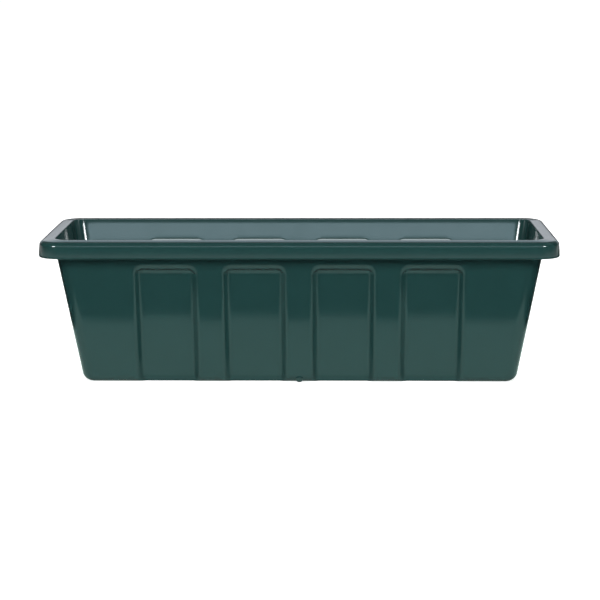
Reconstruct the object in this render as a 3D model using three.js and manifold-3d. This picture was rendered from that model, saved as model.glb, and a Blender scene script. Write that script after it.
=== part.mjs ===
// A plastic window box planter: one thin-walled moulded trough with a turned-down rim and arched
// panels, and two push-in drain plugs in its bottom edge. Millimetres, +Z up, front faces -Y,
// origin on the ground under the middle of the box.
import * as THREE from "three";
import { mergeVertices } from "three/addons/utils/BufferGeometryUtils.js";
import Module from "manifold-3d";

// ---- driving dimensions -------------------------------------------------------------------------

const length = 610; // over the rim
const width = 203; // over the rim
const height = 178; // ground to the crown of the rim

// walls and base
const wall = 2.8;
const floor = 3;
const wallDraft = 9.3; // degrees that each wall leans out
const cornerRadiusTop = 20; // upright corners, outside, under the rim
const cornerRadiusBottom = 16; // the same corners where they meet the base rounding
const bottomRadius = 12; // outside rounding between wall and base
const baseLift = 1.2; // the middle of the base stands off the ground
const landWidth = 16; // flat band round the base that the box stands on
const landStep = 2; // run of the slope between the band and the lifted middle
const landCornerRadius = 12; // round the inner edge of the band
const baseCornerLeast = 3; // smallest corner radius anywhere in the base rounding

// rim
const rimOverhang = 18.3; // skirt to wall
const skirtHeight = 20; // crown to the lower edge of the skirt
const skirtWall = 2.4;
const skirtFlare = 0.8; // the lower edge stands out this far past the upper one
const skirtEdgeRadius = 1;
const rimThickness = 2.8;
const rimSlope = 4; // degrees that the flange falls towards the skirt
const rimCornerRadius = 25;
const rimEdgeRadius = 3; // flange to skirt
const lipRadius = 1.3; // flange to inside wall

// arched panels pressed into both long walls
const panelCount = 4;
const panelPitch = 104.8;
const panelWidth = 68; // between the middles of its borders
const panelDrop = 36.8; // crown of the rim to the middle of the top border
const panelDepth = 9;
const panelCornerRadius = 7;
const borderAngle = 50; // degrees between the border's slope and the wall
const borderRound = 6; // both edges of the border
const topStretch = 1.45; // the border across the top is this much wider than at the sides
const ledgeAngle = 42; // the same slope on the inside
const ledgeRound = 3; // its upper edge, that shows
const ledgeRootRound = 2; // where it leaves the wall
const ledgeSpread = 1; // the ledge inside is this much larger all round than the recess outside
const ledgeRise = 3.7; // and its top is this far above that again

// drain holes and their plugs, in the bottom rounding at mid-length
const drainTilt = 38; // degrees that the hole points down
const drainBore = 5.6;
const bossDiameter = 8.8;
const bossHeight = 0.6; // seat above the crest of the bottom rounding
const plugHeadDiameter = 8.2;
const plugHeadHeight = 2.2;
const plugHeadEdge = 0.7; // straight side of the head below its dome
const plugStemLength = 8;
const plugStemTaper = 0.5; // the tip is this much thinner than the root, across
const plugCoreDiameter = 2.6; // moulded hollow up the stem
const plugCoreDepth = 6;
const plugTipRound = 0.6;

// clearances
const stemClearance = 0.3; // stem to bore, all round
const seatClearance = 0.3; // head to boss
const cutOverrun = 2.8; // a cut starts this far off the skins that it goes through

// smoothness
const cornerSteps = 4; // half the facets of one upright corner
const roundSteps = 6; // facets of a rounding in section
const edgeSteps = 2; // the same for the sharp lower edge of the skirt
const lipSteps = 4;
const borderSteps = 2; // facets of each edge of a panel's border
const drainSides = 24;

// ---- derived places -----------------------------------------------------------------------------

const radians = THREE.MathUtils.degToRad;
const draft = radians(wallDraft);
const lean = Math.tan(draft);
const skirtBottom = height - skirtHeight;

// How far the outside of a wall lies in from the edge of the rim, at a height.
const wallInset = (z) => rimOverhang + (skirtBottom - z) * lean;
// The same for the inside, square to the wall.
const insideInset = (z) => wallInset(z) + wall / Math.cos(draft);
// Centre of a rounding of some radius between a leaning wall and a level face.
const roundingInset = (insetAtFace, radius) =>
  insetAtFace + radius * Math.tan(Math.PI / 4 - draft / 2);

const cornerRadius = (z) =>
  THREE.MathUtils.mapLinear(z, bottomRadius, skirtBottom, cornerRadiusBottom, cornerRadiusTop);

// ---- solids -------------------------------------------------------------------------------------

const wasm = await Module();
wasm.setup();

function toSolid(geometry) {
  const bare = geometry.clone();
  for (const name of ["normal", "uv"]) bare.deleteAttribute(name);
  const merged = mergeVertices(bare, 1e-4);
  return new wasm.Manifold(
    new wasm.Mesh({
      numProp: 3,
      vertProperties: new Float32Array(merged.attributes.position.array),
      triVerts: new Uint32Array(merged.index.array),
    }),
  );
}

function toGeometry(solid) {
  const mesh = solid.getMesh();
  const geometry = new THREE.BufferGeometry();
  geometry.setAttribute("position", new THREE.BufferAttribute(mesh.vertProperties, 3));
  geometry.setIndex(new THREE.BufferAttribute(mesh.triVerts, 1));
  geometry.computeVertexNormals();
  return geometry;
}

// A closed skin over a row of rings with equal counts of points, ended by a fan over each end ring.
function loft(rings) {
  const count = rings[0].length;
  const points = rings.flat();
  const faces = [];
  for (let ring = 0; ring + 1 < rings.length; ring++) {
    for (let i = 0; i < count; i++) {
      const here = ring * count + i;
      const next = ring * count + ((i + 1) % count);
      faces.push(here, next, next + count, here, next + count, here + count);
    }
  }
  for (const [ring, first] of [
    [rings[0], 0],
    [rings[rings.length - 1], (rings.length - 1) * count],
  ]) {
    const middle = new THREE.Vector3();
    for (const point of ring) middle.addScaledVector(point, 1 / count);
    points.push(middle);
    for (let i = 0; i < count; i++) {
      const edge = [first + i, first + ((i + 1) % count)];
      if (first === 0) edge.reverse();
      faces.push(...edge, points.length - 1);
    }
  }
  const geometry = new THREE.BufferGeometry().setFromPoints(points);
  geometry.setIndex(faces);
  return geometry;
}

// A level rounded rectangle, drawn in from the edge of the rim, counter-clockwise from above.
function ringAt({ inset, z, radius }) {
  const x = length / 2 - inset - radius;
  const y = width / 2 - inset - radius;
  const turn = Math.PI / 2;
  const outline = new THREE.Shape();
  outline.absarc(x, y, radius, 0, turn);
  outline.absarc(-x, y, radius, turn, 2 * turn);
  outline.absarc(-x, -y, radius, 2 * turn, 3 * turn);
  outline.absarc(x, -y, radius, 3 * turn, 4 * turn);
  const points = outline.getPoints(cornerSteps);
  if (points[0].distanceTo(points.at(-1)) < 1e-6) points.pop();
  return points.map((p) => new THREE.Vector3(p.x, p.y, z));
}

// Points of a rounding in section. Angles are of its outward normal, up from level.
function rounding({ inset, z }, radius, from, to, steps) {
  return Array.from({ length: steps + 1 }, (_, i) => {
    const angle = THREE.MathUtils.lerp(from, to, i / steps);
    return { inset: inset - radius * Math.cos(angle), z: z + radius * Math.sin(angle) };
  });
}

// ---- the moulded body ---------------------------------------------------------------------------

// Centre of the rounding between wall and base, in section, at a depth below the outside skin.
function baseCentre(depth) {
  const radius = bottomRadius - depth;
  const face = floor * (depth / wall);
  const wallLine = wallInset(face) + depth / Math.cos(draft);
  return { inset: roundingInset(wallLine, radius), z: face + radius };
}

// Stations from the middle of the base out to the wall, at a depth below the outside skin: none
// for the outside, the wall's thickness for the inside.
function baseStations(depth) {
  const radius = bottomRadius - depth;
  const centre = baseCentre(depth);
  const edge = rounding(centre, radius, -Math.PI / 2, -draft, roundSteps);
  const wallRadius = cornerRadius(centre.z) - depth;
  const wallTangent = edge.at(-1).inset;
  const radiusAt = (inset) => Math.max(wallRadius - (inset - wallTangent), baseCornerLeast);
  const land = baseCentre(0).inset + landWidth;
  const face = centre.z - radius;
  return [
    { inset: land + landStep, z: face + baseLift, radius: landCornerRadius },
    { inset: land, z: face, radius: landCornerRadius },
    ...edge.map((p) => ({ ...p, radius: radiusAt(p.inset) })),
  ];
}

function rimStations() {
  const slope = radians(rimSlope);
  const lipCentre = { z: height - lipRadius };
  lipCentre.inset = insideInset(lipCentre.z) - lipRadius / Math.cos(draft);
  const edgeCentre = { inset: skirtFlare + rimEdgeRadius };
  edgeCentre.z =
    lipCentre.z +
    ((edgeCentre.inset - lipCentre.inset) * Math.sin(slope) + lipRadius - rimEdgeRadius) /
      Math.cos(slope);
  const underside = (inset) =>
    height - rimThickness - (wallInset(height) + wall - inset) * Math.tan(slope);
  const wallTop = underside(wallInset(height - rimThickness));
  const skirtInside = skirtFlare + skirtWall;
  const up = Math.PI / 2;
  const insideWallAngle = Math.PI - draft;

  const under = [
    { inset: wallInset(wallTop), z: wallTop, radius: cornerRadius(wallTop) },
    { inset: skirtInside, z: underside(skirtInside), radius: rimCornerRadius - skirtInside },
    { inset: skirtWall, z: skirtBottom, radius: rimCornerRadius - skirtWall },
  ];
  const skirtEdge = rounding(
    { inset: skirtEdgeRadius, z: skirtBottom + skirtEdgeRadius },
    skirtEdgeRadius,
    -up,
    0,
    edgeSteps,
  );
  const rimEdge = rounding(edgeCentre, rimEdgeRadius, 0, up - slope, roundSteps);
  const lip = rounding(lipCentre, lipRadius, up, insideWallAngle, lipSteps);
  const lipCorner = cornerRadius(height) - wall + lipRadius;
  const lipReach = lipCentre.inset;
  return [
    ...under,
    ...[...skirtEdge, ...rimEdge].map((p) => ({ ...p, radius: rimCornerRadius - p.inset })),
    ...lip.map((p) => ({ ...p, radius: lipCorner - (p.inset - lipReach) })),
  ];
}

// The outline of one panel in the plane of its wall, from below the base up to its rounded top.
// spread moves the outline out from the middle of the border, rise lifts the top alone.
function panelOutline(spread, rise) {
  const half = panelWidth / 2 + spread;
  const top = (height - panelDrop) / Math.cos(draft) + topStretch * spread + rise;
  const radius = panelCornerRadius + spread;
  const rounding = topStretch * radius;
  const turn = Math.PI / 2;
  const outline = new THREE.Shape();
  outline.moveTo(-half, -cutOverrun);
  outline.lineTo(half, -cutOverrun);
  outline.absellipse(half - radius, top - rounding, radius, rounding, 0, turn);
  outline.absellipse(radius - half, top - rounding, radius, rounding, turn, 2 * turn);
  const points = outline.getPoints(cornerSteps / 2);
  if (points[0].distanceTo(points.at(-1)) < 1e-6) points.pop();
  return points;
}

// Section across a panel's border: a slope with a rounding at each end, as spread and depth.
function borderSection(angle, outerRound, innerRound) {
  const slope = radians(angle);
  const reach = (panelDepth / 2) * (1 / Math.tan(slope));
  const tangent = Math.tan(slope / 2);
  const section = [];
  for (let i = 1; i <= borderSteps; i++) {
    const turn = (slope * i) / borderSteps;
    section.push({
      spread: reach + outerRound * (tangent - Math.sin(turn)),
      depth: outerRound * (1 - Math.cos(turn)),
    });
  }
  for (let i = borderSteps; i >= 0; i--) {
    const turn = (slope * i) / borderSteps;
    section.push({
      spread: -reach - innerRound * (tangent - Math.sin(turn)),
      depth: panelDepth - innerRound * (1 - Math.cos(turn)),
    });
  }
  return section;
}

// A panel's shape as a solid that lies against one long wall. Depth is measured into the box from
// the plane of the wall's outside, and start is where the solid begins.
function panelSolid(x, side, section, { start, offset, widen, rise }) {
  const first = { spread: section[0].spread, depth: start - offset };
  const rings = [first, ...section].map(({ spread, depth }) =>
    panelOutline(spread + widen, rise).map((p) => new THREE.Vector3(p.x, p.y, -(depth + offset))),
  );
  const geometry = loft(rings.reverse());
  geometry.rotateX(Math.PI / 2 + draft);
  geometry.translate(0, -(width / 2 - wallInset(0)), 0);
  if (side > 0) geometry.rotateZ(Math.PI);
  geometry.translate(x, 0, 0);
  return toSolid(geometry);
}

function forEachPanel(make) {
  const solids = [];
  for (const side of [-1, 1])
    for (let i = 0; i < panelCount; i++)
      solids.push(make((i - (panelCount - 1) / 2) * panelPitch, side));
  return wasm.Manifold.union(solids);
}

// A solid turned about its own axis, placed on a drain hole. Its Z runs out of the box.
function onDrain(geometry, side) {
  const drain = drainFrame(side);
  geometry.applyMatrix4(drain.matrix);
  return toSolid(geometry);
}

function drainFrame(side) {
  const frame = new THREE.Object3D();
  const centre = baseCentre(0);
  frame.position.set(0, side * (width / 2 - centre.inset), centre.z);
  frame.rotation.x = -side * (Math.PI / 2 + radians(drainTilt));
  frame.updateMatrix();
  return frame;
}

const seatRadius = bottomRadius + bossHeight; // seat, from the centre of the bottom rounding

function turned(profile) {
  const points = profile.map(([radius, z]) => new THREE.Vector2(radius, z));
  return new THREE.LatheGeometry(points, drainSides).rotateX(Math.PI / 2);
}

function drainBoss() {
  const root = bottomRadius - wall / 2;
  return turned([
    [0, root],
    [bossDiameter / 2, root],
    [bossDiameter / 2, seatRadius],
    [0, seatRadius],
  ]);
}

function drainBoreCut() {
  const inner = bottomRadius - wall - cutOverrun;
  const outer = seatRadius + cutOverrun;
  return turned([
    [0, inner],
    [drainBore / 2, inner],
    [drainBore / 2, outer],
    [0, outer],
  ]);
}

function mouldedBody() {
  const rim = rimStations();
  const inside = baseStations(wall).reverse();
  const shell = toSolid(loft([...baseStations(0), ...rim, ...inside].map(ringAt)));

  const middle = wall / 2;
  const wallTop = { ...rim[0], inset: rim[0].inset + middle / Math.cos(draft) };
  const core = toSolid(loft([...baseStations(middle), wallTop].map(ringAt)));

  const border = borderSection(borderAngle, borderRound, borderRound);
  const ledge = borderSection(ledgeAngle, ledgeRootRound, ledgeRound);
  const cut = { start: -cutOverrun, offset: 0, widen: 0, rise: 0 };
  const raised = { start: middle, offset: wall, widen: ledgeSpread, rise: ledgeRise };
  const recesses = forEachPanel((x, side) => panelSolid(x, side, border, cut));
  const ledges = forEachPanel((x, side) => panelSolid(x, side, ledge, raised)).intersect(core);

  let body = shell.add(ledges).subtract(recesses);
  for (const side of [-1, 1])
    body = body.add(onDrain(drainBoss(), side)).subtract(onDrain(drainBoreCut(), side));
  return toGeometry(body);
}

// ---- the drain plugs ----------------------------------------------------------------------------

// A domed head and a tapered stem, hollow from its tip. Z runs from the tip out to the dome.
function drainPlug() {
  const stem = drainBore / 2 - stemClearance;
  const tip = stem - plugStemTaper / 2;
  const head = plugHeadDiameter / 2;
  const seat = seatRadius + seatClearance;
  const end = seat - plugStemLength;
  const core = plugCoreDiameter / 2;
  const profile = [
    [0, end + plugCoreDepth],
    [core, end + plugCoreDepth],
    [core, end],
    [tip - plugTipRound, end],
    [tip, end + plugTipRound],
    [stem, seat],
    [head, seat],
    [head, seat + plugHeadEdge],
  ];
  const dome = plugHeadHeight - plugHeadEdge;
  for (let i = 1; i <= roundSteps; i++) {
    const angle = (Math.PI / 2) * (i / roundSteps);
    profile.push([head * Math.cos(angle), seat + plugHeadEdge + dome * Math.sin(angle)]);
  }
  profile.at(-1)[0] = 0;
  return toGeometry(toSolid(turned(profile)));
}

// ---- the assembly -------------------------------------------------------------------------------

const plastic = (colour, roughness) =>
  new THREE.MeshStandardMaterial({ color: colour, roughness, metalness: 0 });

const planter = new THREE.Group();

const body = new THREE.Mesh(mouldedBody(), plastic(0x1c3a36, 0.22));
body.name = "planter_body";
planter.add(body);

for (const [name, side] of [
  ["drain_plug_front", -1],
  ["drain_plug_back", 1],
]) {
  const holder = drainFrame(side);
  const plug = new THREE.Mesh(drainPlug(), plastic(0x1a3532, 0.3));
  plug.name = name;
  holder.add(plug);
  planter.add(holder);
}

export default planter;
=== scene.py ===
import math

import bmesh
import bpy
from mathutils import Matrix, Vector


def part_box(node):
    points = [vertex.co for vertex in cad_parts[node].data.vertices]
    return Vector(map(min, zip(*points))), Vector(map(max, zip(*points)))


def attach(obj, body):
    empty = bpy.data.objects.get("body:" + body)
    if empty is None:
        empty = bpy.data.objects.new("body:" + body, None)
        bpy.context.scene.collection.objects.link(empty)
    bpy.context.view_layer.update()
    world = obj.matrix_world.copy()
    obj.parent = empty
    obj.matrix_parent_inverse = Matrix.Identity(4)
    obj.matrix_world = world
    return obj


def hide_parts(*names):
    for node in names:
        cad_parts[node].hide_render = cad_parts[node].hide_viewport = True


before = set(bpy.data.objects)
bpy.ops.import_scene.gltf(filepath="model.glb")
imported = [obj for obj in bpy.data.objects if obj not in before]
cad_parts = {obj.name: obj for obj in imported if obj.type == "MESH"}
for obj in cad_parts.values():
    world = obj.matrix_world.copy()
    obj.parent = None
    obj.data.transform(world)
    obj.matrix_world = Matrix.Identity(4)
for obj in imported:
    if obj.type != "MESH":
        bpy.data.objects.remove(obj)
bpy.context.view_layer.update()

# A plastic window box planter: one moulded trough with a turned-down rim and arched panels, and two
# drain plugs. Sizes are in millimetres, and each mesh is brought to metres when it is finished.

MM = 0.001

# ---- sizes ----------------------------------------------------------------------------------------

low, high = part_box("planter_body")
LENGTH = (high.x - low.x) / MM
WIDTH = (high.y - low.y) / MM
HEIGHT = (high.z - low.z) / MM

# walls and base
WALL = 2.8
FLOOR = 3.0
DRAFT = math.radians(9.3)  # each wall leans out
LEAN = math.tan(DRAFT)
CORNER_TOP = 20.0  # plan radius of the upright corners under the rim
CORNER_BOTTOM = 16.0  # the same where they meet the base rounding
BASE_ROUND = 12.0  # outside rounding between wall and base
BASE_LIFT = 1.2  # the middle of the base stands off the ground
LAND_WIDTH = 16.0  # flat band round the base that the box stands on
LAND_STEP = 2.0  # run of the slope between the band and the lifted middle
LAND_CORNER = 12.0  # round the inner edge of the band
BASE_CORNER_LEAST = 3.0  # smallest corner radius anywhere in the base rounding

# rim
OVERHANG = 18.3  # skirt to wall
SKIRT = 20.0  # crown to the lower edge of the skirt
SKIRT_WALL = 2.4
SKIRT_FLARE = 0.8  # the lower edge stands out this far past the upper one
SKIRT_EDGE = 1.0  # rounding of the lower edge, outside
SKIRT_INNER_EDGE = 0.5
FLANGE = 2.8
FLANGE_FALL = math.radians(4.0)  # towards the skirt
RIM_CORNER = 25.0
RIM_EDGE = 5.2  # flange to skirt
LIP = 1.3  # flange to inside wall
UNDER_FILLET = 1.5  # where the wall and the skirt meet the underside of the flange

# arched panels pressed into both long walls
PANELS = 4
PANEL_PITCH = 104.8
PANEL_WIDTH = 68.0  # between the middles of its borders
PANEL_DROP = 36.8  # crown of the rim to the middle of the top border
PANEL_DEPTH = 9.0
PANEL_CORNER = 7.0
TOP_STRETCH = 1.45  # the border across the top is this much wider than at the sides
RECESS = {
    "skin": 0,  # depth of the skin that it is pressed into
    "spread": 0,  # how much larger it is all round than the recess outside
    "rise": 0,  # how far its top is above that again
    "stretch": 1,
    "angle": math.radians(50),  # between the border's slope and the wall
    "outer": (6.0, 12.0),  # rounding of the border's outer edge, at the sides and across the top
    "inner": (6.0, 9.0),  # the same of its inner edge
}
LEDGE = {
    "skin": WALL,
    "spread": 1.0,
    "rise": 3.1,
    "stretch": TOP_STRETCH,
    "angle": math.radians(42),
    "outer": (0.8, 0.8),
    "inner": (3.0, 3.0),
}
BORDER_IN = 6.6  # how far the widest border reaches from the line of the panel
BORDER_OUT = 6.8
BLEND = 2.0  # softens the line where a panel runs out in the base rounding

# drain holes in the base rounding, and their plugs
DRAIN_TILT = math.radians(38)  # down from level
DRAIN_BORE = 5.6
BOSS = 8.8
BOSS_HEIGHT = 0.6
PLUG_HEAD = 8.2
PLUG_HEAD_HEIGHT = 2.2
PLUG_HEAD_EDGE = 0.7  # straight side of the head below its dome
PLUG_STEM = 8.0
PLUG_STEM_TAPER = 0.5
PLUG_CORE = 2.6  # moulded hollow up the stem
PLUG_CORE_DEPTH = 6.0
PLUG_TIP_ROUND = 0.6
STEM_CLEARANCE = 0.3
SEAT_CLEARANCE = 0.3

SKIRT_BOTTOM = HEIGHT - SKIRT
SEAT = BASE_ROUND + BOSS_HEIGHT  # seat of a plug, from the centre of the base rounding

# How closely the surface is divided: first by distance, then into a number of steps.
FINE = 0.8  # across a panel's border
MEDIUM = 1.2  # round a panel's corner
COARSE = 12.0  # along plain wall
BASE_STEPS = 14  # base rounding outside
FLOOR_STEPS = 12  # and inside
LAND_STEPS = 5
FILLET_STEPS = 4
EDGE_STEPS = 3  # a small edge
SKIRT_EDGE_STEPS = 5
SKIRT_STEPS = 8
RIM_STEPS = 9
LIP_STEPS = 8
CORNER_STEPS = 12  # an upright corner
SHORT_STEPS = 4  # half of a short wall
END_STEPS = 6  # plain end of a long wall
DOME_STEPS = 16
TURNED_STEPS = 64  # round a plug

SHARP = math.radians(40)  # edges above this angle are shaded as sharp


def wall_inset(z):
    """How far the outside of a wall lies in from the edge of the rim, at a height."""
    return OVERHANG + (SKIRT_BOTTOM - z) * LEAN


def corner_radius(z):
    """Plan radius of the outside of the upright corners at a height."""
    share = (z - BASE_ROUND) / (SKIRT_BOTTOM - BASE_ROUND)
    return CORNER_BOTTOM + share * (CORNER_TOP - CORNER_BOTTOM)


# ---- the section of the box, as stations (inset, height, plan radius) -----------------------------


def arc(inset, z, radius, start, end, steps):
    """Points of a rounding in section. Angles are of its outward normal, up from level."""
    angles = [start + (end - start) * i / steps for i in range(steps + 1)]
    return [(inset - radius * math.cos(a), z + radius * math.sin(a)) for a in angles]


def eased(before, corner, after, size, steps):
    """A corner in section, rounded off by a curve that starts and ends that far from it."""
    first, middle, last = Vector(before), Vector(corner), Vector(after)
    start = middle + size * (first - middle).normalized()
    end = middle + size * (last - middle).normalized()
    shares = [i / steps for i in range(steps + 1)]
    return [
        tuple((1 - t) ** 2 * start + 2 * t * (1 - t) * middle + t**2 * end)
        for t in shares
    ]


def spaced(a, b, step):
    """Even stops from a to b, both included, no further apart than a step."""
    count = max(1, math.ceil(abs(b - a) / step))
    return [a + (b - a) * i / count for i in range(count + 1)]


def between(a, b, count):
    """Even stations between two others."""
    shares = [i / (count + 1) for i in range(1, count + 1)]
    return [tuple(p + (q - p) * share for p, q in zip(a, b)) for share in shares]


def base_centre(depth):
    """Centre of the rounding between wall and base, at a depth below the outside skin."""
    radius = BASE_ROUND - depth
    face = FLOOR * depth / WALL
    inset = wall_inset(face) + depth / math.cos(DRAFT)
    return inset + radius * math.tan(math.pi / 4 - DRAFT / 2), face + radius


def base_stations(depth, steps):
    """From the middle of the base out to the foot of the wall, on one skin."""
    inset, z = base_centre(depth)
    radius = BASE_ROUND - depth
    face = z - radius
    edge = arc(inset, z, radius, -math.pi / 2, -DRAFT, steps)
    foot = edge[-1][0]
    plan = corner_radius(z) - depth
    land = base_centre(0)[0] + LAND_WIDTH
    slope = []
    for share in [i / LAND_STEPS for i in range(LAND_STEPS, -1, -1)]:
        rise = BASE_LIFT * (1 - math.cos(math.pi * share)) / 2
        slope.append((land + LAND_STEP * share, face + rise, LAND_CORNER))
    middle = (land + 2 * LAND_STEP, face + BASE_LIFT, LAND_CORNER)
    rounding = [(i, h, max(plan - (i - foot), BASE_CORNER_LEAST)) for i, h in edge]
    return [middle, *slope, *between(slope[-1], rounding[0], 2), *rounding]


def wall_stations(depth, panel_top, start, end):
    """Up one skin of the wall between two heights, closely spaced at the tops of the panels."""
    fine_from = panel_top - TOP_STRETCH * PANEL_CORNER
    fine_to = panel_top + TOP_STRETCH * BORDER_OUT
    heights = spaced(start, fine_from, COARSE)[1:-1]
    heights += spaced(fine_from, fine_to, FINE)
    heights += spaced(fine_to, end, COARSE / 2)[1:-1]
    inward = depth / math.cos(DRAFT)
    return [(wall_inset(z) + inward, z, corner_radius(z) - depth) for z in heights]


def rim_stations():
    """Under the flange, round the skirt and over the flange to the lip."""
    up = math.pi / 2
    lip_z = HEIGHT - LIP
    lip_inset = wall_inset(lip_z) + (WALL - LIP) / math.cos(DRAFT)
    edge_inset = SKIRT_FLARE + RIM_EDGE
    fall = (edge_inset - lip_inset) * math.sin(FLANGE_FALL)
    edge_z = lip_z + (fall + LIP - RIM_EDGE) / math.cos(FLANGE_FALL)

    def underside(inset):
        run = wall_inset(HEIGHT) + WALL - inset
        return inset, HEIGHT - FLANGE - run * math.tan(FLANGE_FALL)

    wall_top = underside(wall_inset(HEIGHT - FLANGE))
    skirt_top = underside(SKIRT_FLARE + SKIRT_WALL)
    skirt_foot = (SKIRT_WALL, SKIRT_BOTTOM)
    wall_below = (wall_inset(SKIRT_BOTTOM), SKIRT_BOTTOM)
    wall_fillet = eased(wall_below, wall_top, skirt_top, UNDER_FILLET, FILLET_STEPS)
    skirt_fillet = eased(wall_top, skirt_top, skirt_foot, UNDER_FILLET, FILLET_STEPS)
    inner_edge = eased(skirt_top, skirt_foot, (0, SKIRT_BOTTOM), SKIRT_INNER_EDGE, EDGE_STEPS)
    edge_centre = (SKIRT_EDGE, SKIRT_BOTTOM + SKIRT_EDGE)
    skirt = arc(*edge_centre, SKIRT_EDGE, -up, 0, SKIRT_EDGE_STEPS)
    foot_z = skirt[-1][1]
    for t in [i / SKIRT_STEPS for i in range(1, SKIRT_STEPS)]:
        # It leans in more and more towards its upper edge.
        skirt.append((SKIRT_FLARE * t * (1 + t) / 2, foot_z + (edge_z - foot_z) * t))
    rim_edge = arc(edge_inset, edge_z, RIM_EDGE, 0, up - FLANGE_FALL, RIM_STEPS)
    lip = arc(lip_inset, lip_z, LIP, up, math.pi - DRAFT, LIP_STEPS)

    # The corners of the wall and of the rim have different centres, and the underside joins them.
    wall_plan = corner_radius(wall_top[1])
    skirt_plan = RIM_CORNER - skirt_top[0]
    slope = (skirt_plan - wall_plan) / (skirt_top[0] - wall_top[0])
    lip_plan = corner_radius(HEIGHT) - WALL + LIP

    def rim_plan(section):
        return [(i, z, RIM_CORNER - i) for i, z in section]

    stations = [(i, z, wall_plan + slope * (i - wall_top[0])) for i, z in wall_fillet]
    for rows_before, stretch in [
        (2, rim_plan(skirt_fillet)),
        (2, rim_plan(inner_edge)),
        (1, rim_plan(skirt)),
        (2, rim_plan(rim_edge)),
        (4, [(i, z, lip_plan - (i - lip_inset)) for i, z in lip]),
    ]:
        stations += [*between(stations[-1], stretch[0], rows_before), *stretch]
    return stations


# ---- panels ---------------------------------------------------------------------------------------


def border_depth(spread, angle, outer, inner):
    """Depth across a panel's border: a slope with a rounding at each end. spread grows outwards."""
    reach = PANEL_DEPTH / 2 / math.tan(angle)
    outside = reach + outer * math.tan(angle / 2) - spread
    inside = reach + inner * math.tan(angle / 2) + spread
    if outside <= 0:
        return 0.0
    if inside <= 0:
        return PANEL_DEPTH
    if outside < outer * math.sin(angle):
        return outer - math.sqrt(outer**2 - outside**2)
    if inside < inner * math.sin(angle):
        return PANEL_DEPTH - inner + math.sqrt(inner**2 - inside**2)
    return PANEL_DEPTH / 2 - spread * math.tan(angle)


def panel_centre(index):
    return (index - (PANELS - 1) / 2) * PANEL_PITCH


def panel_spread(x, v, form):
    """Distance out from the middle of the nearest panel's border, and how far up its arch that is.

    v runs up the slope of the wall.
    """
    index = min(max(round(x / PANEL_PITCH + (PANELS - 1) / 2), 0), PANELS - 1)
    across = abs(x - panel_centre(index)) - (PANEL_WIDTH / 2 - PANEL_CORNER)
    top = (HEIGHT - PANEL_DROP) / math.cos(DRAFT) + form["rise"]
    above = (v - top) / form["stretch"] + PANEL_CORNER
    corner = math.hypot(max(across, 0), max(above, 0))
    arch = (max(above, 0) / corner) ** 2 if corner else 0
    return corner + min(max(across, above), 0) - PANEL_CORNER - form["spread"], arch


def pressed(x, inset, z, form):
    """Where a point of a long wall's skin lies once the panels are pressed into it."""
    along, out = math.sin(DRAFT), math.cos(DRAFT)
    run = inset - wall_inset(0)
    own = run * out + z * along - form["skin"]
    spread, arch = panel_spread(x, z * out - run * along, form)
    outer, inner = [side + arch * (top - side) for side, top in (form["outer"], form["inner"])]
    pushed = border_depth(spread, form["angle"], outer, inner)
    if pushed <= 0:
        return inset, z
    close = max(BLEND - abs(own - pushed), 0)
    soft = close**2 / (4 * BLEND) * min(max(own, 0) / BLEND, 1) * min(pushed / BLEND, 1)
    move = max(own, pushed) + soft - own
    return inset + move * out, z + move * along


# ---- the moulded body -----------------------------------------------------------------------------


def long_stops():
    """Places along a long wall: x, and a share of the plain end past the last panel."""
    half = PANEL_WIDTH / 2
    flat = half - PANEL_CORNER
    border = spaced(flat, half - BORDER_IN, MEDIUM)[:-1]
    border += spaced(half - BORDER_IN, half + BORDER_OUT, FINE)
    gap = spaced(half + BORDER_OUT, PANEL_PITCH - half - BORDER_OUT, COARSE)[1:-1]
    panel = [-x for x in reversed(border)] + spaced(-flat, flat, COARSE)[1:-1] + border
    stops = []
    for index in range(PANELS):
        stops += [panel_centre(index) + x for x in panel]
        if index + 1 < PANELS:
            stops += [panel_centre(index) + x for x in gap]
    end = stops[-1]
    shares = [i / END_STEPS for i in range(1, END_STEPS + 1)]
    left = [(-end, -share) for share in reversed(shares)]
    return left + [(x, 0) for x in stops] + [(end, share) for share in shares]


LONG_STOPS = long_stops()
LONG_END = LONG_STOPS[-1][0]
SHORT_STOPS = [i / SHORT_STEPS for i in range(-SHORT_STEPS, SHORT_STEPS + 1)]
CORNER_STOPS = [i / CORNER_STEPS for i in range(1, CORNER_STEPS)]


def ring_places(inset, z, radius, form):
    """One level round the box, counter-clockwise from above, from the left end of the front."""
    half_x = LENGTH / 2 - inset - radius
    half_y = WIDTH / 2 - inset - radius
    places = []
    for side in (1, -1):
        for x, share in LONG_STOPS:
            at_x = x + share * (half_x - LONG_END)
            at_inset, at_z = pressed(x, inset, z, form) if form and share == 0 else (inset, z)
            places.append((side * at_x, side * (at_inset - WIDTH / 2), at_z))
        for quarter in (-1, 0):
            for share in CORNER_STOPS:
                turn = (quarter + share) * math.pi / 2
                x = half_x + radius * math.cos(turn)
                y = (2 * quarter + 1) * half_y + radius * math.sin(turn)
                places.append((side * x, side * y, z))
            if quarter < 0:
                edge = side * (half_x + radius)
                places += [(edge, side * share * half_y, z) for share in SHORT_STOPS]
    return places


def body_rings():
    """Every ring of the body's skin, from the middle of the base outside to the floor inside."""
    panel_top = HEIGHT - PANEL_DROP
    rim = rim_stations()
    foot = base_stations(0, BASE_STEPS)
    floor = base_stations(WALL, FLOOR_STEPS)
    outer_wall = wall_stations(0, panel_top, foot[-1][1], rim[0][1])
    inner_wall = wall_stations(WALL, panel_top + LEDGE["rise"], floor[-1][1], rim[-1][1])
    rings = [ring_places(*station, RECESS) for station in foot + outer_wall]
    rings += [ring_places(*station, None) for station in rim]
    rings += [ring_places(*station, LEDGE) for station in reversed(floor + inner_wall)]
    return rings


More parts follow.
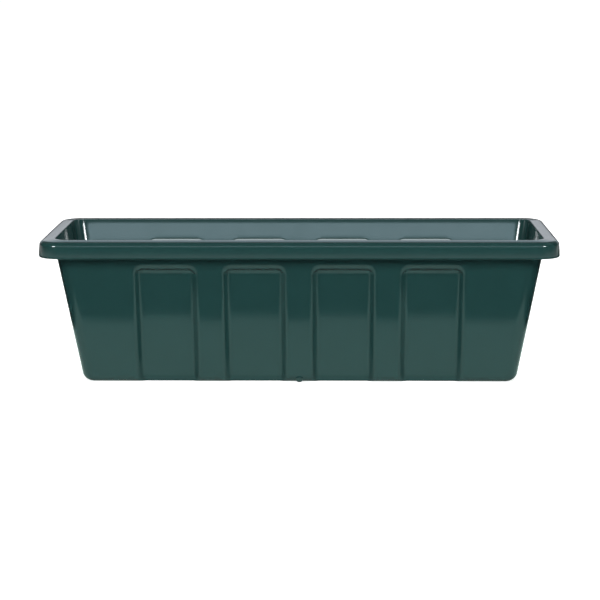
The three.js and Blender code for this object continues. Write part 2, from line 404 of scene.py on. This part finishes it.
def moulded_skin():
    """The closed skin of the box: one ring, extruded from level to level, and capped."""
    rings = body_rings()
    bm = bmesh.new()
    stop = bm.verts.layers.int.new("stop")
    ring = bmesh.ops.create_circle(bm, segments=len(rings[0]), radius=1)["verts"]
    for index, vert in enumerate(ring):
        vert[stop] = index
        vert.co = rings[0][index]
    edges = list(bm.edges)
    bmesh.ops.contextual_create(bm, geom=edges)
    for places in rings[1:]:
        grown = bmesh.ops.extrude_edge_only(bm, edges=edges)["geom"]
        for vert in (item for item in grown if isinstance(item, bmesh.types.BMVert)):
            vert.co = places[vert[stop]]
        grown_edges = (item for item in grown if isinstance(item, bmesh.types.BMEdge))
        edges = [edge for edge in grown_edges if edge.is_boundary]
    bmesh.ops.contextual_create(bm, geom=edges)
    bm.verts.layers.int.remove(stop)
    bmesh.ops.recalc_face_normals(bm, faces=bm.faces)
    return bm


def smooth(mesh):
    mesh.shade_smooth()
    mesh.set_sharp_from_angle(angle=SHARP)


def linked_object(name, bm):
    """An object in the scene, from a bmesh that is used up."""
    mesh = bpy.data.meshes.new(name)
    bm.to_mesh(mesh)
    bm.free()
    piece = bpy.data.objects.new(name, mesh)
    bpy.context.scene.collection.objects.link(piece)
    return piece


def finished(name, bm):
    """A smooth-shaded object in metres, from a bmesh in millimetres."""
    bmesh.ops.scale(bm, vec=(MM, MM, MM), verts=bm.verts)
    piece = linked_object(name, bm)
    smooth(piece.data)
    return piece


def turned(profile, side):
    """A profile (radius, height) spun about a drain hole's axis. Its height runs out of the box."""
    bm = bmesh.new()
    verts = [bm.verts.new((radius, 0, z)) for radius, z in profile]
    edges = [bm.edges.new(pair) for pair in zip(verts, verts[1:])]
    bmesh.ops.spin(
        bm,
        geom=verts + edges,
        cent=(0, 0, 0),
        axis=(0, 0, 1),
        angle=2 * math.pi,
        steps=TURNED_STEPS,
        use_merge=True,
    )
    bmesh.ops.remove_doubles(bm, verts=bm.verts, dist=1e-4)
    bmesh.ops.recalc_face_normals(bm, faces=bm.faces)
    inset, z = base_centre(0)
    place = Matrix.Translation((0, side * (WIDTH / 2 - inset), z))
    turn = Matrix.Rotation(-side * (math.pi / 2 + DRAIN_TILT), 4, "X")
    bmesh.ops.transform(bm, matrix=place @ turn, verts=bm.verts)
    return bm


def combine(piece, tool, operation):
    """Add a tool to a piece or cut it away, and delete the tool."""
    modifier = piece.modifiers.new("combine", "BOOLEAN")
    modifier.operation = operation
    modifier.solver = "EXACT"
    modifier.object = tool
    evaluated = piece.evaluated_get(bpy.context.evaluated_depsgraph_get())
    mesh = bpy.data.meshes.new_from_object(evaluated)
    piece.modifiers.clear()
    piece.data = mesh
    bpy.data.objects.remove(tool)


def boss_profile():
    root = BASE_ROUND - WALL / 2
    edge = eased((BOSS / 2, root), (BOSS / 2, SEAT), (0, SEAT), BOSS_HEIGHT / 2, FILLET_STEPS)
    return [(0, root), (BOSS / 2, root), *edge, (0, SEAT)]


def bore_profile():
    """A bore that starts and ends clear of both skins."""
    start, end = BASE_ROUND - 2 * WALL, SEAT + WALL
    bore = DRAIN_BORE / 2
    return [(0, start), (bore, start), (bore, end), (0, end)]


def planter_shell():
    """The moulded body with its bosses and drain holes."""
    shell = finished("planter_shell", moulded_skin())
    for side in (-1, 1):
        combine(shell, finished("boss", turned(boss_profile(), side)), "UNION")
        combine(shell, finished("bore", turned(bore_profile(), side)), "DIFFERENCE")
    smooth(shell.data)
    shell.data.name = "planter_shell"
    return shell


def drain_plug(name, side):
    """A domed head on a tapered stem that is hollow from its tip."""
    stem = DRAIN_BORE / 2 - STEM_CLEARANCE
    tip = stem - PLUG_STEM_TAPER / 2
    head = PLUG_HEAD / 2
    seat = SEAT + SEAT_CLEARANCE
    end = seat - PLUG_STEM
    core = PLUG_CORE / 2
    edge = seat + PLUG_HEAD_EDGE
    dome = PLUG_HEAD_HEIGHT - PLUG_HEAD_EDGE
    angles = [math.pi / 2 * i / DOME_STEPS for i in range(DOME_STEPS)]
    profile = [
        (0, end + PLUG_CORE_DEPTH),
        (core, end + PLUG_CORE_DEPTH),
        *eased((core, seat), (core, end), (tip, end), PLUG_TIP_ROUND / 2, EDGE_STEPS),
        *eased((core, end), (tip, end), (stem, seat), PLUG_TIP_ROUND, FILLET_STEPS),
        (stem, seat),
        *eased((stem, seat), (head, seat), (head, edge), PLUG_HEAD_EDGE / 3, EDGE_STEPS),
        *[(head * math.cos(a), edge + dome * math.sin(a)) for a in angles],
        (0, edge + dome),
    ]
    return finished(name, turned(profile, side))


# ---- shader nodes ---------------------------------------------------------------------------------

# The sockets of a Mix node for each kind of value: its two inputs and its result.
MIX_SOCKETS = {"FLOAT": (2, 3, 0), "RGBA": (6, 7, 2)}

WHITE = (1, 1, 1, 1)
BLACK = (0, 0, 0, 1)


def feed(tree, value, socket):
    """Give a socket the output of another node, or a constant."""
    if isinstance(value, bpy.types.NodeSocket):
        tree.links.new(value, socket)
    else:
        socket.default_value = value


def maths(tree, operation, *values):
    node = tree.nodes.new("ShaderNodeMath")
    node.operation = operation
    for value, socket in zip(values, node.inputs):
        feed(tree, value, socket)
    return node.outputs[0]


def mixed(tree, kind, factor, a, b):
    node = tree.nodes.new("ShaderNodeMix")
    node.data_type = kind
    first, second, result = MIX_SOCKETS[kind]
    feed(tree, factor, node.inputs["Factor"])
    feed(tree, a, node.inputs[first])
    feed(tree, b, node.inputs[second])
    return node.outputs[result]


def place_along(tree, coordinates):
    """The X, Y and Z of a point, in coordinates of one kind."""
    parts = tree.nodes.new("ShaderNodeSeparateXYZ")
    place = tree.nodes.new("ShaderNodeTexCoord").outputs[coordinates]
    tree.links.new(place, parts.inputs["Vector"])
    return parts.outputs


def faded(tree, value, stops):
    """A colour that changes with a value, through stops (value, colour or grey)."""
    first, last = stops[0][0], stops[-1][0]
    scale = tree.nodes.new("ShaderNodeMapRange")
    scale.inputs["From Min"].default_value = first
    scale.inputs["From Max"].default_value = last
    ramp = tree.nodes.new("ShaderNodeValToRGB")
    tree.links.new(value, scale.inputs["Value"])
    tree.links.new(scale.outputs["Result"], ramp.inputs["Fac"])
    marks = ramp.color_ramp.elements
    while len(marks) < len(stops):
        marks.new(0.5)
    for mark, (at, colour) in zip(marks, stops):
        mark.position = (at - first) / (last - first)
        mark.color = (*colour, 1) if isinstance(colour, tuple) else (colour, colour, colour, 1)
    return ramp.outputs["Color"]


def new_material(name):
    """A material, with its node tree and its Principled shader."""
    material = bpy.data.materials.new(name)
    material.use_nodes = True
    return material, material.node_tree, material.node_tree.nodes["Principled BSDF"]


# ---- finish ---------------------------------------------------------------------------------------

# What each plastic gives the moulded surface. The grain and the ripple are heights in metres.
PLASTICS = {
    "body_plastic": {
        "Colour": (0.0115, 0.0425, 0.0405, 1),
        "Pale Colour": (0.0135, 0.0475, 0.0455, 1),
        "Polish": 0.08,
        "Dull": 0.13,
        "Grain": 4e-6,
        "Ripple": 4e-5,
    },
    "plug_plastic": {
        "Colour": (0.0125, 0.041, 0.039, 1),
        "Pale Colour": (0.0145, 0.045, 0.043, 1),
        "Polish": 0.22,
        "Dull": 0.32,
        "Grain": 5e-6,
        "Ripple": 2e-5,
    },
}


def moulded_surface():
    """A node group, the surface of moulded plastic: colour, roughness, and height for the bump."""
    group = bpy.data.node_groups.new("moulded_surface", "ShaderNodeTree")
    for name, value in PLASTICS["body_plastic"].items():
        kind = "NodeSocketColor" if isinstance(value, tuple) else "NodeSocketFloat"
        group.interface.new_socket(name, in_out="INPUT", socket_type=kind)
    for name, kind in [
        ("Colour", "NodeSocketColor"),
        ("Roughness", "NodeSocketFloat"),
        ("Height", "NodeSocketFloat"),
    ]:
        group.interface.new_socket(name, in_out="OUTPUT", socket_type=kind)
    given = group.nodes.new("NodeGroupInput").outputs
    result = group.nodes.new("NodeGroupOutput").inputs
    place = group.nodes.new("ShaderNodeTexCoord").outputs["Object"]

    def noise(scale, detail, stretch=(1, 1, 1)):
        mapping = group.nodes.new("ShaderNodeMapping")
        mapping.inputs["Scale"].default_value = stretch
        texture = group.nodes.new("ShaderNodeTexNoise")
        texture.inputs["Scale"].default_value = scale
        texture.inputs["Detail"].default_value = detail
        group.links.new(place, mapping.inputs["Vector"])
        group.links.new(mapping.outputs["Vector"], texture.inputs["Vector"])
        return texture.outputs["Fac"]

    cloud = noise(11, 3, (1, 1, 1.6))
    smudge = noise(55, 6, (1, 1, 0.5))
    grain = maths(group, "MULTIPLY", noise(850, 2), given["Grain"])
    ripple = maths(group, "MULTIPLY", noise(20, 1, (1, 1, 0.6)), given["Ripple"])
    feed(group, mixed(group, "RGBA", cloud, given["Colour"], given["Pale Colour"]), result["Colour"])
    feed(group, mixed(group, "FLOAT", smudge, given["Polish"], given["Dull"]), result["Roughness"])
    feed(group, maths(group, "ADD", grain, ripple), result["Height"])
    return group


MOULDED_SURFACE = moulded_surface()


def green_plastic(name):
    """Glossy green plastic."""
    material, tree, shader = new_material(name)
    shader.inputs["IOR"].default_value = 1.5
    surface = tree.nodes.new("ShaderNodeGroup")
    surface.node_tree = MOULDED_SURFACE
    for socket, value in PLASTICS[name].items():
        surface.inputs[socket].default_value = value
    bump = tree.nodes.new("ShaderNodeBump")
    bump.inputs["Distance"].default_value = 1
    tree.links.new(surface.outputs["Height"], bump.inputs["Height"])
    tree.links.new(surface.outputs["Colour"], shader.inputs["Base Color"])
    tree.links.new(surface.outputs["Roughness"], shader.inputs["Roughness"])
    tree.links.new(bump.outputs["Normal"], shader.inputs["Normal"])
    return material


# ---- stage, light and camera, in metres -----------------------------------------------------------

STAGE_SIZE = 60
FLOOR_Z = -0.0004  # a hair below the surround, and both a hair below the box
SURROUND_Z = -0.0002

# How brightly the floor glows for the camera, by the distance from its middle.
FLOOR_GLOW = [(0.5, 0.78), (2.5, 0.95), (3, 0.95)]

# How bright the table, the box's painted shadow on it and the ground are in the gloss, by the
# distance out from the rim.
TABLE_AND_SHADOW_TONES = [
    # painted shadow: the table is dark under the box and at its foot, where the box shades it
    (-0.06, 0.0),
    (-0.046, 0.02),
    (-0.04, (0.6, 0.86, 0.78)),
    (0.02, (0.6, 0.86, 0.78)),
    (0.1, (0.54, 0.78, 0.73)),
    (0.114, 0.02),
    (0.8, 0.02),
    (1.2, 0.92),
    (1.5, 0.85),
    (2, 0.45),
    (3, 0.16),
    (4.2, 0.03),
    (5.5, 0.02),
]

# The same above level, by the sine of the elevation: before the box, and behind it.
FRONT_TONES = [
    (0.0, 0.02),
    (0.08, 0.02),
    (0.12, 0.85),
    (0.175, (0.92, 0.95, 1.0)),
    (0.205, (0.5, 0.55, 0.6)),
    (0.24, 0.1),
    (1.0, 0.08),
]
BACK_TONES = [
    (0.0, 0.01),
    (0.09, 0.01),
    (0.122, (0.9, 0.93, 1.0)),
    (0.2, (0.9, 0.93, 1.0)),
    (0.26, (0.5, 0.62, 0.7)),
    (0.31, (0.38, 0.49, 0.57)),
    (0.4, 0.2),
    (1.0, 0.08),
]

# The studio is darker towards its ends, by how far to the side a direction points.
STUDIO_ENDS = [(0.0, 1.0), (0.66, 1.0), (0.78, 0.15), (1.0, 0.15)]

# Lamps: name, size, watts, colour, place and aim. Two light the plastic at a plain level and aren't
# seen in its gloss, and the others are seen only there.
PLAIN_LAMPS = [
    ("fill", (2.6, 1), 84, (1, 1, 1), (0, -2.4, 1.5), (0, 0, 0.1)),
    ("rear", (2.6, 1), 36, (1, 1, 1), (0, 2.4, 1.5), (0, 0, 0.1)),
]
GLOSS_LAMPS = [
    ("front", (2.4, 0.18), 5.1, (0.6, 0.86, 1), (0, -2.7, 0.64), (0, 0, 0.16)),
    ("strip", (2, 0.44), 23, (0.9, 0.96, 1), (0, -0.1, 0.62), (0, 1, 0.62)),
    ("corner", (0.6, 0.4), 32, (0.93, 0.98, 1), (-1.46, -2.3, 0.72), (0, 0, 0.16)),
    ("corner", (0.6, 0.4), 32, (0.93, 0.98, 1), (1.46, -2.3, 0.72), (0, 0, 0.16)),
]

CAMERA_PLACE = (0.0385, -2.006, 0.49)
CAMERA_YAW = 0.0192  # to the left
CAMERA_PITCH = 0.1968  # down from level
CAMERA_ROLL = -0.003
CAMERA_LENS = 100.2
CAMERA_SENSOR = 36


def card(name, z):
    """A level card that fills the stage."""
    bm = bmesh.new()
    bmesh.ops.create_grid(bm, x_segments=1, y_segments=1, size=STAGE_SIZE / 2)
    bmesh.ops.translate(bm, vec=(0, 0, z), verts=bm.verts)
    piece = linked_object(name, bm)
    return piece


def pale_floor():
    """A pale floor that is near white to the camera and holds the object's shadow.

    From below it is clear, so that the base shows.
    """
    material, tree, shader = new_material("pale_floor")
    shader.inputs["Base Color"].default_value = (0.8, 0.8, 0.8, 1)
    shader.inputs["Roughness"].default_value = 1
    shader.inputs["Specular IOR Level"].default_value = 0
    away = tree.nodes.new("ShaderNodeVectorMath")
    away.operation = "LENGTH"
    tree.links.new(tree.nodes.new("ShaderNodeTexCoord").outputs["Object"], away.inputs[0])
    glow = faded(tree, away.outputs["Value"], FLOOR_GLOW)
    seen = tree.nodes.new("ShaderNodeLightPath").outputs["Is Camera Ray"]
    tree.links.new(glow, shader.inputs["Emission Color"])
    tree.links.new(seen, shader.inputs["Emission Strength"])
    under = tree.nodes.new("ShaderNodeMixShader")
    below = tree.nodes.new("ShaderNodeNewGeometry").outputs["Backfacing"]
    clear = tree.nodes.new("ShaderNodeBsdfTransparent").outputs["BSDF"]
    tree.links.new(below, under.inputs["Fac"])
    tree.links.new(shader.outputs["BSDF"], under.inputs[1])
    tree.links.new(clear, under.inputs[2])
    tree.links.new(under.outputs["Shader"], tree.nodes["Material Output"].inputs["Surface"])
    card("floor", FLOOR_Z).data.materials.append(material)


def table_surround():
    """What the gloss shows below level, and nothing else sees.

    A pale table lies round the box, dark under it and at its foot with the box's painted shadow, and
    past its edge a dark ground turns pale and dark again.
    """
    material, tree, shader = new_material("table_surround")
    shader.inputs["Base Color"].default_value = BLACK
    shader.inputs["Specular IOR Level"].default_value = 0
    shader.inputs["Emission Strength"].default_value = 1
    x, y, _ = place_along(tree, "Object")
    beyond = [
        maths(tree, "SUBTRACT", maths(tree, "ABSOLUTE", place), size * MM / 2)
        for place, size in ((x, LENGTH), (y, WIDTH))
    ]
    # the glowing tone by distance from the rim, with the box's painted shadow under and beside it
    tone = faded(tree, maths(tree, "MAXIMUM", *beyond), TABLE_AND_SHADOW_TONES)
    tree.links.new(tone, shader.inputs["Emission Color"])
    surround = card("table_surround", SURROUND_Z)
    surround.data.materials.append(material)
    surround.visible_camera = False
    surround.visible_diffuse = False
    surround.visible_shadow = False
    surround.visible_transmission = False


def studio():
    """The studio above level, as the gloss shows it. To the camera it is white."""
    world = bpy.data.worlds.new("studio")
    world.use_nodes = True
    tree = world.node_tree
    x, y, z = place_along(tree, "Generated")
    front = faded(tree, z, FRONT_TONES)
    back = faded(tree, z, BACK_TONES)
    around = mixed(tree, "RGBA", maths(tree, "GREATER_THAN", y, 0), front, back)
    tone = tree.nodes.new("ShaderNodeVectorMath")
    tone.operation = "MULTIPLY"
    tree.links.new(around, tone.inputs[0])
    tree.links.new(faded(tree, maths(tree, "ABSOLUTE", x), STUDIO_ENDS), tone.inputs[1])
    seen = tree.nodes.new("ShaderNodeLightPath").outputs["Is Camera Ray"]
    backdrop = mixed(tree, "RGBA", seen, tone.outputs[0], WHITE)
    tree.links.new(backdrop, tree.nodes["Background"].inputs["Color"])
    bpy.context.scene.world = world


def soft_light(name, size, watts, colour, place, aim):
    """A rectangular lamp that the camera doesn't see."""
    data = bpy.data.lights.new(name, "AREA")
    data.shape = "RECTANGLE"
    data.size, data.size_y = size
    data.energy = watts
    data.color = colour
    lamp = bpy.data.objects.new(name, data)
    lamp.location = place
    direction = Vector(aim) - Vector(place)
    lamp.rotation_euler = direction.to_track_quat("-Z", "Y").to_euler()
    lamp.visible_camera = False
    bpy.context.scene.collection.objects.link(lamp)
    return lamp


def lights():
    studio()
    for values in PLAIN_LAMPS:
        soft_light(*values).visible_glossy = False
    for values in GLOSS_LAMPS:
        soft_light(*values).visible_diffuse = False


def camera():
    """The photograph's view, from about two metres in front and a little above."""
    data = bpy.data.cameras.new("camera")
    data.sensor_width = CAMERA_SENSOR
    data.lens = CAMERA_LENS
    data.clip_start = 0.05
    data.clip_end = 200
    eye = bpy.data.objects.new("camera", data)
    turn = (
        Matrix.Rotation(CAMERA_YAW, 4, "Z")
        @ Matrix.Rotation(math.pi / 2 - CAMERA_PITCH, 4, "X")
        @ Matrix.Rotation(CAMERA_ROLL, 4, "Z")
    )
    eye.matrix_world = Matrix.Translation(CAMERA_PLACE) @ turn
    bpy.context.scene.collection.objects.link(eye)
    bpy.context.scene.camera = eye


# ---- the planter ----------------------------------------------------------------------------------

body_plastic = green_plastic("body_plastic")
plug_plastic = green_plastic("plug_plastic")

shell = planter_shell()
shell.data.materials.append(body_plastic)
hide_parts("planter_body")
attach(shell, "planter")

for name, node, body, side in [
    ("front_drain_plug", "drain_plug_front", "front_plug", -1),
    ("back_drain_plug", "drain_plug_back", "back_plug", 1),
]:
    plug = drain_plug(name, side)
    plug.data.materials.append(plug_plastic)
    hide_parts(node)
    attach(plug, body)

pale_floor()
table_surround()
lights()
camera()
bpy.context.scene.view_settings.view_transform = "Standard"
